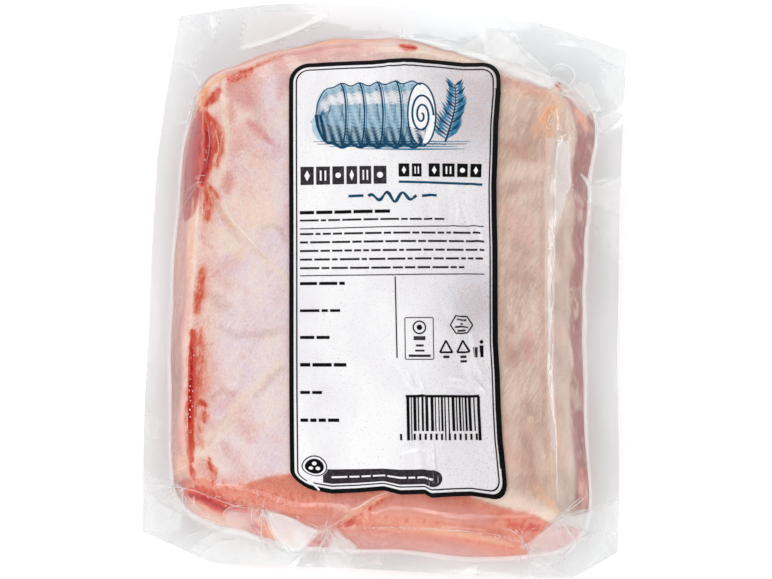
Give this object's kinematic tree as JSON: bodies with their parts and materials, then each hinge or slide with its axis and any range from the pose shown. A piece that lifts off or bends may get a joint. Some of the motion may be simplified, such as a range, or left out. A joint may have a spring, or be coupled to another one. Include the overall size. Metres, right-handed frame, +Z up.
{
  "type": "vacuum packed boneless pork loin piece",
  "caption": "Boneless pork loin piece in a clear vacuum pouch with a flat sealed rim and a paper label on top.",
  "frame": {"origin": "middle of the pack's outline, on the table under it", "axes": "+Y runs up the label along the pack's longer side, +Z is up out of the label, +X is to the label's right"},
  "size_m": [0.191, 0.231, 0.0493],
  "materials": {
    "clear_film": "clear glossy vacuum film drawn tight over raw pork",
    "label_paper": "white printed paper, satin",
    "raw_pork": "moist raw pork, lean and fat",
    "dark_ink": "near-black printing ink",
    "blue_ink": "blue printing ink"
  },
  "bodies": {
    "root": {"sealed_pack": "clear_film", "label": "label_paper"}
  },
  "joints": []
}
